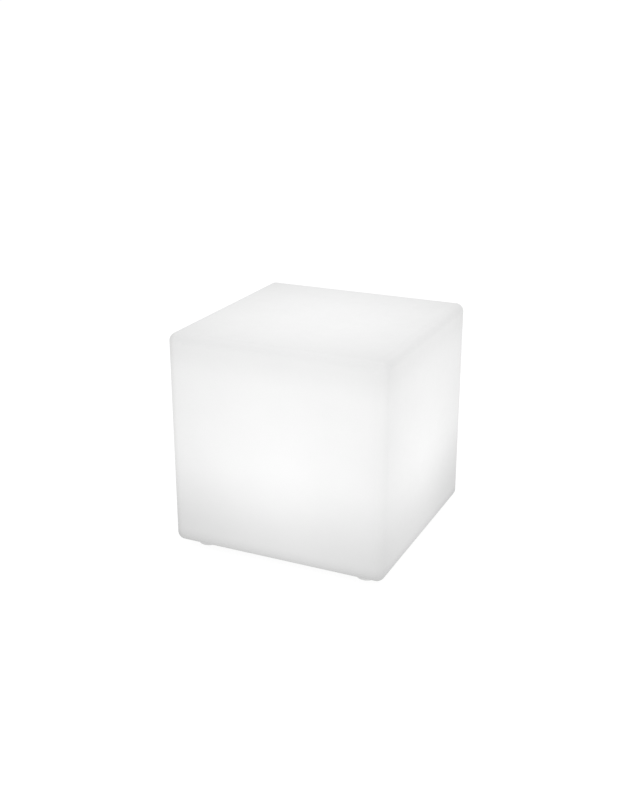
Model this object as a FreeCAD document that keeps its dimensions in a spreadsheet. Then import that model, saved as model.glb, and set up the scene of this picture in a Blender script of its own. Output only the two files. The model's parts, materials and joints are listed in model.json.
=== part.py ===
import FreeCAD, Part
import math
import os

import Sketcher
from FreeCAD import Placement, Rotation, Vector

# Cordless outdoor cube light.
#
# A rotation-moulded, translucent polyethylene cube stands on four screwed-on feet. A sealed
# light engine hangs up through a round opening in its underside: a cup-shaped base housing with
# two cells, a control board, a push button and a charging socket behind a hinged door, closed at
# the top by an aluminium plate with the emitter board and a clear lens.
#
# Millimetres, +Z up, origin on the floor under the middle of the cube. The large face seen in
# the reference view looks along -Y, the smaller one along +X.

OUT = "parts"

SIZES = [
    # cube
    ("cube_width", 400.0, "outer width and depth of the cube"),
    ("cube_height", 403.0, "overall height, feet included"),
    ("foot_height", 14.0, "height of the feet, so of the underside"),
    ("edge_radius", 15.0, "outer radius on every edge"),
    ("wall", 4.0, "wall of the moulded shell"),
    # seat of the light engine in the underside
    ("recess_radius", 86.0, "radius of the sunk seat"),
    ("recess_depth", 8.0, "depth of the sunk seat"),
    ("recess_corner", 3.0, "radius round the mouth of the seat"),
    ("opening_radius", 62.0, "opening that the light engine goes through"),
    ("seat_circle", 77.0, "radius of the ring of seat screws"),
    ("seat_insert_radius", 4.0, "threaded insert, outside"),
    ("seat_insert_length", 10.0, "threaded insert"),
    ("seat_boss_radius", 7.0, "moulded boss round an insert"),
    # feet
    ("foot_inset", 44.8, "foot centre from the cube's faces"),
    ("foot_top_radius", 20.0, "foot at the cube"),
    ("foot_sole_radius", 18.5, "foot at the floor, before its rounded rim"),
    ("foot_rim", 3.0, "rounding of the foot's rim"),
    ("foot_well_radius", 6.5, "well for the screw head"),
    ("foot_well_depth", 7.0, "well for the screw head"),
    ("foot_hole_radius", 2.7, "screw hole"),
    ("foot_insert_radius", 4.5, "threaded insert, outside"),
    ("foot_insert_length", 10.0, "threaded insert"),
    ("foot_boss_radius", 9.0, "moulded boss round an insert"),
    ("foot_screw_radius", 2.45, "shank"),
    ("foot_thread_radius", 2.5, "insert thread"),
    # base housing
    ("gasket_thick", 2.0, "seat gasket, pressed"),
    ("gasket_inner", 63.5, "seat gasket"),
    ("gasket_outer", 71.5, "seat gasket"),
    ("flange_radius", 84.0, "flange of the housing"),
    ("flange_thick", 4.0, "flange of the housing"),
    ("floor_thick", 3.0, "floor of the housing"),
    ("cup_radius", 52.0, "cup, outside"),
    ("cup_inner", 49.5, "cup, inside"),
    ("cup_top", 66.0, "height of the cup's lip above the floor"),
    ("lip_radius", 60.0, "lip, outside"),
    ("lip_thick", 6.0, "lip"),
    ("ledge_inner", 47.5, "ledge that carries the plate"),
    ("ledge_drop", 2.0, "ledge below the lip"),
    ("groove_mid", 52.0, "seal groove, middle"),
    ("groove_half", 0.85, "seal groove, half width"),
    ("groove_deep", 1.5, "seal groove"),
    ("seal_tube", 0.75, "lens seal, radius of its cord"),
    ("seat_screw_hole", 2.25, "clearance hole in the flange"),
    ("seat_screw_sink", 4.3, "counterbore in the flange"),
    ("seat_sink_deep", 2.0, "counterbore in the flange"),
    ("seat_screw_radius", 1.95, "shank"),
    ("seat_thread_radius", 2.0, "insert thread"),
    # button
    ("button_away", 24.0, "button centre from the middle, towards the back"),
    ("button_radius", 6.0, "button cap"),
    ("button_bore", 6.2, "bore of the button"),
    ("button_proud", 1.6, "cap below the housing"),
    ("button_travel", 0.8, "stroke of the button"),
    ("guide_inner", 7.8, "guide collar"),
    ("guide_outer", 10.0, "guide collar"),
    ("guide_tall", 3.5, "guide collar"),
    ("button_collar", 7.5, "collar that keeps the cap in"),
    # charging socket and its door
    ("port_away", 28.0, "socket centre from the middle, towards the front"),
    ("port_radius", 5.75, "mouth of the socket well"),
    ("port_depth", 4.5, "depth of the mouth"),
    ("port_seat_radius", 5.4, "seat of the socket's flange"),
    ("port_seat_depth", 2.0, "seat of the socket's flange"),
    ("port_hole", 4.05, "hole for the socket's barrel"),
    ("port_boss", 9.0, "boss round the socket"),
    ("port_boss_tall", 6.0, "boss round the socket"),
    ("jack_barrel", 4.0, "threaded barrel"),
    ("jack_bore", 2.85, "plug bore"),
    ("jack_pin_radius", 1.0, "contact pin"),
    ("door_radius", 8.8, "door"),
    ("door_thick", 1.6, "door"),
    ("door_gap", 1.0, "door below the housing, filled by its seal"),
    ("hinge_reach", 12.0, "hinge axis from the socket's centre"),
    ("hinge_drop", 2.3, "hinge axis below the housing"),
    ("knuckle_radius", 1.95, "door knuckle and lugs"),
    ("hinge_pin_radius", 1.0, "hinge pin"),
    ("knuckle_half", 4.0, "door knuckle, half width"),
    ("lug_thick", 2.5, "hinge lug"),
    # control board
    ("board_half", 29.0, "board, half width"),
    ("board_front", 12.0, "board edge towards the front"),
    ("board_back", 36.0, "board edge towards the back"),
    ("board_height", 27.0, "underside of the board above the floor"),
    ("board_thick", 1.6, "boards"),
    ("post_radius", 3.2, "board post"),
    ("pillar_radius", 4.0, "tray pillar"),
    ("pillar_across", 39.0, "tray pillar, from the middle"),
    ("pillar_along", 12.0, "tray pillar, from the middle"),
    # cells and tray
    ("tray_height", 38.0, "underside of the tray above the floor"),
    ("tray_thick", 2.0, "tray"),
    ("tray_half", 43.5, "tray, half length"),
    ("tray_side", 17.0, "tray, half width"),
    ("cell_radius", 9.2, "cell"),
    ("cell_length", 65.0, "cell"),
    ("cell_apart", 10.0, "cell axis from the middle"),
    ("cell_lift", 0.3, "cell above the tray"),
    # plate, emitters and lens
    ("plate_radius", 49.2, "aluminium plate"),
    ("plate_thick", 2.0, "aluminium plate"),
    ("emitter_board_radius", 46.0, "emitter board"),
    ("outer_ring", 33.0, "outer ring of emitters"),
    ("inner_ring", 17.0, "inner ring of emitters"),
    ("emitter_side", 5.0, "emitter"),
    ("emitter_tall", 1.5, "emitter"),
    ("lens_flange", 3.0, "lens flange"),
    ("lens_outer", 50.5, "lens drum, outside"),
    ("lens_inner", 48.0, "lens drum, inside"),
    ("lens_rise", 24.0, "top of the lens above the lip"),
    ("lens_shoulder", 12.0, "rounded shoulder of the lens"),
    ("lens_circle", 56.5, "ring of lens screws"),
]

doc = FreeCAD.newDocument("cube_light")
sheet = doc.addObject("Spreadsheet::Sheet", "Sizes")
VALUE = {}
for row, (alias, number, note) in enumerate(SIZES, start=1):
    sheet.set("A%d" % row, alias)
    sheet.set("B%d" % row, repr(number))
    sheet.set("C%d" % row, note)
    sheet.setAlias("B%d" % row, alias)
    VALUE[alias] = number
doc.recompute()


class Dim:
    """A length together with the expression over the sheet that drives it."""

    def __init__(self, value, text):
        self.value, self.text = float(value), text

    @staticmethod
    def of(other):
        return other if isinstance(other, Dim) else Dim(other, repr(float(other)))

    def __add__(self, other):
        o = Dim.of(other)
        return Dim(self.value + o.value, "(%s + %s)" % (self.text, o.text))

    def __radd__(self, other):
        return Dim.of(other) + self

    def __sub__(self, other):
        o = Dim.of(other)
        return Dim(self.value - o.value, "(%s - %s)" % (self.text, o.text))

    def __rsub__(self, other):
        return Dim.of(other) - self

    def __mul__(self, other):
        o = Dim.of(other)
        return Dim(self.value * o.value, "(%s * %s)" % (self.text, o.text))

    __rmul__ = __mul__

    def __truediv__(self, other):
        o = Dim.of(other)
        return Dim(self.value / o.value, "(%s / %s)" % (self.text, o.text))

    def __neg__(self):
        return Dim(-self.value, "(0 - %s)" % self.text)


def S(alias):
    return Dim(VALUE[alias], "Sizes." + alias)


# Heights used by several pieces.
UNDER = S("foot_height")  # underside of the cube
SEAT = UNDER + S("recess_depth")  # sunk face that the gasket presses on
FLANGE_TOP = SEAT - S("gasket_thick")
FLANGE_LOW = FLANGE_TOP - S("flange_thick")  # lowest face of the housing
INSIDE = FLANGE_LOW + S("floor_thick")  # inner face of the housing's floor
LIP = S("cup_top")
LEDGE = LIP - S("ledge_drop")
PLATE_TOP = LEDGE + S("plate_thick")
EMITTERS = PLATE_TOP + S("board_thick")  # face that the emitters sit on
BOARD = S("board_height")
BOARD_TOP = BOARD + S("board_thick")
TRAY_TOP = S("tray_height") + S("tray_thick")
CELL_MID = TRAY_TOP + S("cell_lift") + S("cell_radius")
FOOT_AT = S("cube_width") / 2 - S("foot_inset")
HINGE_Y = -(S("port_away") + S("hinge_reach"))
HINGE_Z = FLANGE_LOW - S("hinge_drop")

bodies = {}
PIECES = []


def new_body(label, keep=True):
    body = doc.addObject("PartDesign::Body", label)
    body.Label = label
    bodies[label] = body
    if keep:
        PIECES.append(body)
    return body


def plane(body, role):
    return [o for o in body.Origin.OriginFeatures if o.Role == role][0]


def new_sketch(body, name, role="XY_Plane", lift=None):
    """A sketch on one of the body's origin planes, lifted along the plane's normal."""
    sketch = body.newObject("Sketcher::SketchObject", name)
    sketch.AttachmentSupport = [(plane(body, role), "")]
    sketch.MapMode = "FlatFace"
    if lift is not None:
        lift = Dim.of(lift)
        sketch.AttachmentOffset = Placement(Vector(0, 0, lift.value), Rotation())
        sketch.setExpression("AttachmentOffset.Base.z", lift.text)
    return sketch


def place_point(sketch, geometry, which, x, y):
    """Dimensions one point of a sketch from the origin and ties it to the sheet."""
    for axis, dim in (("X", Dim.of(x)), ("Y", Dim.of(y))):
        if abs(dim.value) < 1e-9:
            sketch.addConstraint(
                Sketcher.Constraint("PointOnObject", geometry, which, -2 if axis == "X" else -1)
            )
            continue
        if dim.value > 0:
            k = sketch.addConstraint(
                Sketcher.Constraint("Distance" + axis, -1, 1, geometry, which, dim.value)
            )
            sketch.setExpression("Constraints[%d]" % k, dim.text)
        else:
            k = sketch.addConstraint(
                Sketcher.Constraint("Distance" + axis, geometry, which, -1, 1, -dim.value)
            )
            sketch.setExpression("Constraints[%d]" % k, (-dim).text)


def polygon(sketch, points):
    """A closed outline of straight lines, every corner dimensioned."""
    n = len(points)
    first = sketch.GeometryCount
    at = [(Dim.of(x), Dim.of(y)) for x, y in points]
    for i in range(n):
        a, b = at[i], at[(i + 1) % n]
        sketch.addGeometry(
            Part.LineSegment(
                Vector(a[0].value, a[1].value, 0), Vector(b[0].value, b[1].value, 0)
            ),
            False,
        )
    for i in range(n):
        sketch.addConstraint(
            Sketcher.Constraint("Coincident", first + i, 2, first + (i + 1) % n, 1)
        )
    for i in range(n):
        place_point(sketch, first + i, 1, *at[i])


def circle(sketch, x, y, radius):
    x, y, radius = Dim.of(x), Dim.of(y), Dim.of(radius)
    k = sketch.addGeometry(
        Part.Circle(Vector(x.value, y.value, 0), Vector(0, 0, 1), radius.value), False
    )
    place_point(sketch, k, 3, x, y)
    c = sketch.addConstraint(Sketcher.Constraint("Radius", k, radius.value))
    sketch.setExpression("Constraints[%d]" % c, radius.text)


def ring_points(count, radius, start=0.0):
    """Centres of a ring of like features."""
    radius = Dim.of(radius)
    found = []
    for i in range(count):
        a = math.radians(start + 360.0 * i / count)
        c, s = round(math.cos(a), 9), round(math.sin(a), 9)
        found.append((radius * c if c else 0.0, radius * s if s else 0.0))
    return found


def pad(body, sketch, length, name, down=False):
    f = body.newObject("PartDesign::Pad", name)
    f.Profile = sketch
    length = Dim.of(length)
    f.Length = length.value
    f.setExpression("Length", length.text)
    f.Reversed = down
    sketch.Visibility = False
    doc.recompute()
    return f


def pocket(body, sketch, length, name, down=False):
    """A cut that goes up from its sketch, or down from it, and always removes material."""
    before = body.Shape.Volume
    f = body.newObject("PartDesign::Pocket", name)
    f.Profile = sketch
    length = Dim.of(length)
    f.Length = length.value
    f.setExpression("Length", length.text)
    f.Reversed = not down
    sketch.Visibility = False
    doc.recompute()
    if f.Shape.isNull() or not body.Shape.Volume < before - 1e-6:
        raise RuntimeError("%s removed nothing from %s" % (name, body.Label))
    return f


def revolve(body, sketch, name):
    f = body.newObject("PartDesign::Revolution", name)
    f.Profile = sketch
    f.ReferenceAxis = (sketch, ["V_Axis"])
    f.Angle = 360.0
    sketch.Visibility = False
    doc.recompute()
    return f


def turned(label, points, keep=True, place=None):
    """A piece of revolution about its own vertical axis, from (radius, height) corners."""
    body = new_body(label, keep)
    sketch = new_sketch(body, label + "_outline", "XZ_Plane")
    polygon(sketch, points)
    revolve(body, sketch, label + "_turned")
    if place:
        put(body, *place)
    return body


def plate(label, points, low, thick, keep=True):
    body = new_body(label, keep)
    sketch = new_sketch(body, label + "_outline", "XY_Plane", low)
    polygon(sketch, points)
    pad(body, sketch, thick, label + "_plate")
    return body


def rectangle(x0, y0, x1, y1):
    return [(x0, y0), (x1, y0), (x1, y1), (x0, y1)]


def block(label, x0, y0, x1, y1, low, thick, keep=True):
    return plate(label, rectangle(x0, y0, x1, y1), low, thick, keep)


def put(thing, x, y, z=0.0):
    x, y, z = Dim.of(x), Dim.of(y), Dim.of(z)
    thing.Placement = Placement(Vector(x.value, y.value, z.value), thing.Placement.Rotation)
    thing.setExpression("Placement.Base.x", x.text)
    thing.setExpression("Placement.Base.y", y.text)
    thing.setExpression("Placement.Base.z", z.text)
    return thing


def curve(edge):
    """The edge's curve, or None where an edge has shrunk to a point."""
    try:
        return edge.Curve
    except TypeError:
        return None


def soften(body, radius, choose, name, kind="Fillet"):
    """Rounds or bevels the edges of the body's present shape that choose() picks."""
    base = body.Tip
    picked = [
        "Edge%d" % (i + 1) for i, e in enumerate(base.Shape.Edges) if choose(e)
    ]
    if not picked:
        raise RuntimeError("%s found no edge on %s" % (name, body.Label))
    f = body.newObject("PartDesign::" + kind, name)
    f.Base = (base, picked)
    radius = Dim.of(radius)
    if kind == "Fillet":
        f.Radius = radius.value
        f.setExpression("Radius", radius.text)
    else:
        f.Size = radius.value
        f.setExpression("Size", radius.text)
    doc.recompute()
    if f.Shape.isNull():
        raise RuntimeError("%s gave no shape on %s" % (name, body.Label))
    return f


def round_edge(radius, height, tol=0.02):
    """Chooses full circles of that radius at that height."""
    r, z = Dim.of(radius).value, Dim.of(height).value

    def choose(e):
        c = curve(e)
        return (
            isinstance(c, Part.Circle)
            and abs(c.Radius - r) < tol
            and abs(c.Center.z - z) < tol
        )

    return choose


def group(label, master, places, flip=False):
    """Like pieces in one node, each a solid of its own."""
    links = []
    for i, at in enumerate(places):
        x, y, z = at[:3]
        link = doc.addObject("App::Link", "%s_%d" % (label, i + 1))
        link.LinkedObject = master
        turn = Rotation(Vector(1, 0, 0), 180) if flip else Rotation(Vector(0, 0, 1), at[3] if len(at) > 3 else 0)
        link.Placement = Placement(Vector(0, 0, 0), turn)
        put(link, x, y, z)
        links.append(link)
    both = doc.addObject("Part::Compound", label)
    both.Label = label
    both.Links = links
    PIECES.append(both)
    doc.recompute()
    return both


def hexagon(across):
    """Corners of a hexagon from its width across flats."""
    across = Dim.of(across)
    r = across / math.sqrt(3.0)
    found = []
    for i in range(6):
        a = math.radians(60.0 * i + 30)
        c, s = round(math.cos(a), 9), round(math.sin(a), 9)
        found.append((r * c if abs(c) > 1e-9 else 0.0, r * s if abs(s) > 1e-9 else 0.0))
    return found


def screw(label, shank, length, head, head_tall, drive, drive_deep):
    """One button-head screw, its seat at height zero, its shank up and its head down."""
    body = turned(
        label,
        [
            (0, -Dim.of(head_tall)),
            (Dim.of(head) * 0.72, -Dim.of(head_tall)),
            (head, -Dim.of(head_tall) * 0.45),
            (head, 0),
            (shank, 0),
            (shank, Dim.of(length) - 0.6),
            (Dim.of(shank) - 0.6, length),
            (0, length),
        ],
        keep=False,
    )
    sketch = new_sketch(body, label + "_drive", "XY_Plane", -Dim.of(head_tall))
    polygon(sketch, hexagon(drive))
    pocket(body, sketch, drive_deep, label + "_socket")
    return body


# ---------------------------------------------------------------- the cube

half = S("cube_width") / 2
shell = new_body("diffuser_shell")
sk = new_sketch(shell, "shell_plan", "XY_Plane", UNDER)
polygon(sk, rectangle(-half, -half, half, half))
pad(shell, sk, S("cube_height") - UNDER, "shell_block")
soften(shell, S("edge_radius"), lambda e: True, "shell_edges")

inner = half - S("wall")
hollow = new_body("shell_hollow", keep=False)
sk = new_sketch(hollow, "hollow_plan", "XY_Plane", UNDER + S("wall"))
polygon(sk, rectangle(-inner, -inner, inner, inner))
pad(hollow, sk, S("cube_height") - UNDER - 2 * S("wall"), "hollow_block")
soften(hollow, S("edge_radius") - S("wall"), lambda e: True, "hollow_edges")
cut = shell.newObject("PartDesign::Boolean", "hollowed")
cut.setObjects([hollow])
cut.Type = "Cut"
doc.recompute()

# Sunk seat for the light engine, with the wall carried round it.
sk = new_sketch(shell, "seat_plan", "XY_Plane", UNDER)
circle(sk, 0, 0, S("recess_radius") + S("wall"))
pad(shell, sk, S("recess_depth") + S("wall"), "seat_block")
sk = new_sketch(shell, "seat_bosses_plan", "XY_Plane", SEAT)
for x, y in ring_points(6, S("seat_circle"), 30):
    circle(sk, x, y, S("seat_boss_radius"))
pad(shell, sk, S("seat_insert_length") + S("wall"), "seat_bosses")
sk = new_sketch(shell, "foot_bosses_plan", "XY_Plane", UNDER)
for sx in (-1, 1):
    for sy in (-1, 1):
        circle(sk, FOOT_AT * sx, FOOT_AT * sy, S("foot_boss_radius"))
pad(shell, sk, S("foot_insert_length") + S("wall"), "foot_bosses")
sk = new_sketch(shell, "recess_plan", "XY_Plane", UNDER)
circle(sk, 0, 0, S("recess_radius"))
pocket(shell, sk, S("recess_depth"), "recess")
sk = new_sketch(shell, "opening_plan", "XY_Plane", UNDER)
circle(sk, 0, 0, S("opening_radius"))
pocket(shell, sk, S("recess_depth") + S("wall"), "opening")
sk = new_sketch(shell, "seat_insert_plan", "XY_Plane", SEAT)
for x, y in ring_points(6, S("seat_circle"), 30):
    circle(sk, x, y, S("seat_insert_radius"))
pocket(shell, sk, S("seat_insert_length"), "seat_insert_holes")
sk = new_sketch(shell, "foot_insert_plan", "XY_Plane", UNDER)
for sx in (-1, 1):
    for sy in (-1, 1):
        circle(sk, FOOT_AT * sx, FOOT_AT * sy, S("foot_insert_radius"))
pocket(shell, sk, S("foot_insert_length"), "foot_insert_holes")
soften(shell, S("recess_corner"), round_edge(S("recess_radius"), UNDER), "seat_mouth")

# ---------------------------------------------------------------- feet

for name, sx, sy in (
    ("foot_front_left", -1, -1),
    ("foot_front_right", 1, -1),
    ("foot_rear_left", -1, 1),
    ("foot_rear_right", 1, 1),
):
    foot = turned(
        name,
        [
            (S("foot_hole_radius"), UNDER),
            (S("foot_hole_radius"), S("foot_well_depth")),
            (S("foot_well_radius"), S("foot_well_depth")),
            (S("foot_well_radius"), 0),
            (S("foot_sole_radius"), 0),
            (S("foot_top_radius"), UNDER),
        ],
    )
    soften(foot, S("foot_rim"), round_edge(S("foot_sole_radius"), 0), name + "_rim")
    put(foot, FOOT_AT * sx, FOOT_AT * sy)

corners = [(FOOT_AT * sx, FOOT_AT * sy) for sx in (-1, 1) for sy in (-1, 1)]
foot_insert = turned(
    "foot_insert",
    [
        (S("foot_thread_radius"), 0),
        (S("foot_insert_radius"), 0),
        (S("foot_insert_radius"), S("foot_insert_length")),
        (S("foot_thread_radius"), S("foot_insert_length")),
    ],
    keep=False,
)
group("foot_inserts", foot_insert, [(x, y, UNDER) for x, y in corners])
foot_screw = screw("foot_screw", S("foot_screw_radius"), 14.0, 4.75, 3.0, 3.2, 1.8)
group("foot_screws", foot_screw, [(x, y, S("foot_well_depth")) for x, y in corners])

# ---------------------------------------------------------------- base housing

g0, g1 = S("groove_mid") - S("groove_half"), S("groove_mid") + S("groove_half")
base = turned(
    "base_housing",
    [
        (0, FLANGE_LOW),
        (S("flange_radius"), FLANGE_LOW),
        (S("flange_radius"), FLANGE_TOP),
        (S("cup_radius"), FLANGE_TOP),
        (S("cup_radius"), LIP - S("lip_thick")),
        (S("lip_radius"), LIP - S("lip_thick")),
        (S("lip_radius"), LIP),
        (g1, LIP),
        (g1, LIP - S("groove_deep")),
        (g0, LIP - S("groove_deep")),
        (g0, LIP),
        (S("cup_inner"), LIP),
        (S("cup_inner"), LEDGE),
        (S("ledge_inner"), LEDGE),
        (S("ledge_inner"), LEDGE - 4),
        (S("cup_inner"), LEDGE - 6),
        (S("cup_inner"), INSIDE),
        (0, INSIDE),
    ],
)
soften(base, 1.2, round_edge(S("flange_radius"), FLANGE_LOW), "flange_rim")

BUTTON = (0.0, S("button_away"))
PORT = (0.0, -S("port_away"))
WINDOW = (16.0, S("button_away"))
VENT = (-26.0, -26.0)
POSTS = [(-24.0, -7.0), (24.0, -7.0), (-24.0, 31.0), (24.0, 31.0)]
PILLARS = [
    (S("pillar_across") * sx, S("pillar_along") * sy) for sx in (-1, 1) for sy in (-1, 1)
]

sk = new_sketch(base, "collar_plan", "XY_Plane", INSIDE)
circle(sk, BUTTON[0], BUTTON[1], S("guide_outer"))
circle(sk, BUTTON[0], BUTTON[1], S("guide_inner"))
pad(base, sk, S("guide_tall"), "button_guide")
sk = new_sketch(base, "port_boss_plan", "XY_Plane", INSIDE)
circle(sk, PORT[0], PORT[1], S("port_boss"))
pad(base, sk, S("port_boss_tall"), "port_boss_block")
sk = new_sketch(base, "window_boss_plan", "XY_Plane", INSIDE)
circle(sk, WINDOW[0], WINDOW[1], 3.2)
pad(base, sk, 1.5, "window_boss")
sk = new_sketch(base, "posts_plan", "XY_Plane", INSIDE)
for x, y in POSTS:
    circle(sk, x, y, S("post_radius"))
pad(base, sk, BOARD - INSIDE, "board_posts")
sk = new_sketch(base, "pillars_plan", "XY_Plane", INSIDE)
for x, y in PILLARS:
    circle(sk, x, y, S("pillar_radius"))
pad(base, sk, S("tray_height") - INSIDE, "tray_pillars")

sk = new_sketch(base, "seat_holes_plan", "XY_Plane", FLANGE_LOW)
for x, y in ring_points(6, S("seat_circle"), 30):
    circle(sk, x, y, S("seat_screw_hole"))
pocket(base, sk, S("flange_thick"), "seat_holes")
sk = new_sketch(base, "seat_sinks_plan", "XY_Plane", FLANGE_LOW)
for x, y in ring_points(6, S("seat_circle"), 30):
    circle(sk, x, y, S("seat_screw_sink"))
pocket(base, sk, S("seat_sink_deep"), "seat_sinks")
sk = new_sketch(base, "lens_holes_plan", "XY_Plane", LIP)
for x, y in ring_points(4, S("lens_circle"), 45):
    circle(sk, x, y, 1.3)
pocket(base, sk, 4.5, "lens_holes", down=True)
sk = new_sketch(base, "button_bore_plan", "XY_Plane", FLANGE_LOW)
circle(sk, BUTTON[0], BUTTON[1], S("button_bore"))
pocket(base, sk, S("floor_thick"), "button_bore")
sk = new_sketch(base, "port_mouth_plan", "XY_Plane", FLANGE_LOW)
circle(sk, PORT[0], PORT[1], S("port_radius"))
pocket(base, sk, S("port_depth"), "port_mouth")
sk = new_sketch(base, "port_seat_plan", "XY_Plane", FLANGE_LOW)
circle(sk, PORT[0], PORT[1], S("port_seat_radius"))
pocket(base, sk, S("port_depth") + S("port_seat_depth"), "port_seat")
sk = new_sketch(base, "port_hole_plan", "XY_Plane", FLANGE_LOW)
circle(sk, PORT[0], PORT[1], S("port_hole"))
pocket(base, sk, S("floor_thick") + S("port_boss_tall"), "port_hole")
sk = new_sketch(base, "window_plan", "XY_Plane", FLANGE_LOW)
circle(sk, WINDOW[0], WINDOW[1], 1.6)
pocket(base, sk, 6.0, "window_hole")
sk = new_sketch(base, "vent_plan", "XY_Plane", FLANGE_LOW)
circle(sk, VENT[0], VENT[1], 3.05)
pocket(base, sk, S("floor_thick"), "vent_hole")
sk = new_sketch(base, "post_holes_plan", "XY_Plane", BOARD)
for x, y in POSTS:
    circle(sk, x, y, 1.25)
pocket(base, sk, 6.5, "post_holes", down=True)
sk = new_sketch(base, "pillar_holes_plan", "XY_Plane", S("tray_height"))
for x, y in PILLARS:
    circle(sk, x, y, 1.5)
pocket(base, sk, 9.0, "pillar_holes", down=True)

# Two lugs under the floor carry the pin of the charging door.
k_r = S("knuckle_radius")
lug_in = S("knuckle_half") + 0.2
for name, side in (("left", -1), ("right", 1)):
    sk = new_sketch(base, "lug_%s_plan" % name, "YZ_Plane", (lug_in + S("lug_thick")) if side > 0 else -lug_in)
    k = sk.GeometryCount
    # straight flanks from the floor down to the round end about the pin
    polygon(
        sk,
        [
            (HINGE_Y - k_r, HINGE_Z),
            (HINGE_Y - k_r * 0.7071, HINGE_Z - k_r * 0.7071),
            (HINGE_Y, HINGE_Z - k_r),
            (HINGE_Y + k_r * 0.7071, HINGE_Z - k_r * 0.7071),
            (HINGE_Y + k_r, HINGE_Z),
            (HINGE_Y + k_r, FLANGE_LOW + 0.5),
            (HINGE_Y - k_r, FLANGE_LOW + 0.5),
        ],
    )
    pad(base, sk, S("lug_thick"), "lug_" + name, down=True)
sk = new_sketch(base, "pin_bore_plan", "YZ_Plane", -(lug_in + S("lug_thick")))
circle(sk, HINGE_Y, HINGE_Z, S("hinge_pin_radius"))
pocket(base, sk, 2 * (lug_in + S("lug_thick")), "pin_bore")

# ---------------------------------------------------------------- seat of the light engine

turned(
    "base_gasket",
    [
        (S("gasket_inner"), FLANGE_TOP),
        (S("gasket_outer"), FLANGE_TOP),
        (S("gasket_outer"), SEAT),
        (S("gasket_inner"), SEAT),
    ],
)
seat_insert = turned(
    "seat_insert",
    [
        (S("seat_thread_radius"), 0),
        (S("seat_insert_radius"), 0),
        (S("seat_insert_radius"), S("seat_insert_length")),
        (S("seat_thread_radius"), S("seat_insert_length")),
    ],
    keep=False,
)
ring6 = ring_points(6, S("seat_circle"), 30)
group("base_inserts", seat_insert, [(x, y, SEAT) for x, y in ring6])
seat_screw = screw("seat_screw", S("seat_screw_radius"), 13.0, 3.8, 2.3, 2.5, 1.4)
group(
    "base_screws",
    seat_screw,
    [(x, y, FLANGE_LOW + S("seat_sink_deep")) for x, y in ring6],
)

# ---------------------------------------------------------------- button and its switch

cap_low = FLANGE_LOW - S("button_proud")
cap = turned(
    "power_button",
    [
        (0, cap_low),
        (S("button_radius"), cap_low),
        (S("button_radius"), FLANGE_LOW + 0.6),
        (4.6, FLANGE_LOW + 0.6),
        (4.6, FLANGE_LOW + 2.2),
        (S("button_radius"), FLANGE_LOW + 2.2),
        (S("button_radius"), INSIDE + 0.05),
        (S("button_collar"), INSIDE + 0.05),
        (S("button_collar"), INSIDE + 1.2),
        (1.6, INSIDE + 1.2),
        (1.6, INSIDE + 3.9),
        (0, INSIDE + 3.9),
    ],
)
soften(cap, 0.7, round_edge(S("button_radius"), cap_low), "cap_rim")
put(cap, *BUTTON)


def torus(label, ring, tube, x, y, z):
    """A moulded sealing ring of round section."""
    body = new_body(label)
    sketch = new_sketch(body, label + "_section", "XZ_Plane")
    circle(sketch, ring, 0, tube)
    revolve(body, sketch, label + "_ring")
    put(body, x, y, z)
    return body


torus("button_seal", 5.37, 0.75, BUTTON[0], BUTTON[1], FLANGE_LOW + 1.4)

switch = block("tact_switch", -3.1, -3.1, 3.1, 3.1, BOARD - 3.5, 3.5)
sk = new_sketch(switch, "switch_hole_plan", "XY_Plane", BOARD - 3.5)
circle(sk, 0, 0, 1.85)
pocket(switch, sk, 2.8, "switch_hole")
put(switch, *BUTTON)
turned(
    "switch_plunger",
    [
        (0, INSIDE + 3.9),
        (1.7, INSIDE + 3.9),
        (1.7, INSIDE + 5.7),
        (0, INSIDE + 5.7),
    ],
    place=BUTTON,
)

# ---------------------------------------------------------------- charging socket and its door

p_mouth = FLANGE_LOW + S("port_depth")
p_seat = p_mouth + S("port_seat_depth")
p_top = INSIDE + S("port_boss_tall")
turned(
    "charging_jack",
    [
        (S("jack_bore"), p_mouth),
        (S("port_seat_radius") - 0.05, p_mouth),
        (S("port_seat_radius") - 0.05, p_seat - 0.5),
        (S("jack_barrel"), p_seat - 0.5),
        (S("jack_barrel"), p_seat + 11),
        (0, p_seat + 11),
        (0, p_seat + 8),
        (S("jack_bore"), p_seat + 8),
    ],
    place=PORT,
)
turned(
    "jack_pin",
    [
        (0, p_mouth + 1.0),
        (S("jack_pin_radius") - 0.3, p_mouth + 1.0),
        (S("jack_pin_radius"), p_mouth + 1.5),
        (S("jack_pin_radius"), p_seat + 8),
        (0, p_seat + 8),
    ],
    place=PORT,
)
turned(
    "jack_washer",
    [
        (S("port_hole"), p_seat - 0.5),
        (S("port_seat_radius") - 0.1, p_seat - 0.5),
        (S("port_seat_radius") - 0.1, p_seat),
        (S("port_hole"), p_seat),
    ],
    place=PORT,
)
nut = plate("jack_nut", hexagon(12.0), p_top, 2.4)
sk = new_sketch(nut, "jack_nut_bore_plan", "XY_Plane", p_top)
circle(sk, 0, 0, S("port_hole"))
pocket(nut, sk, 2.4, "jack_nut_bore")
put(nut, *PORT)
tab = block("jack_tab", -0.3, -1.0, 0.3, 1.0, 0, 2.6, keep=False)
group("jack_terminals", tab, [(2.2, PORT[1], p_seat + 11), (-2.2, PORT[1], p_seat + 11)])

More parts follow.
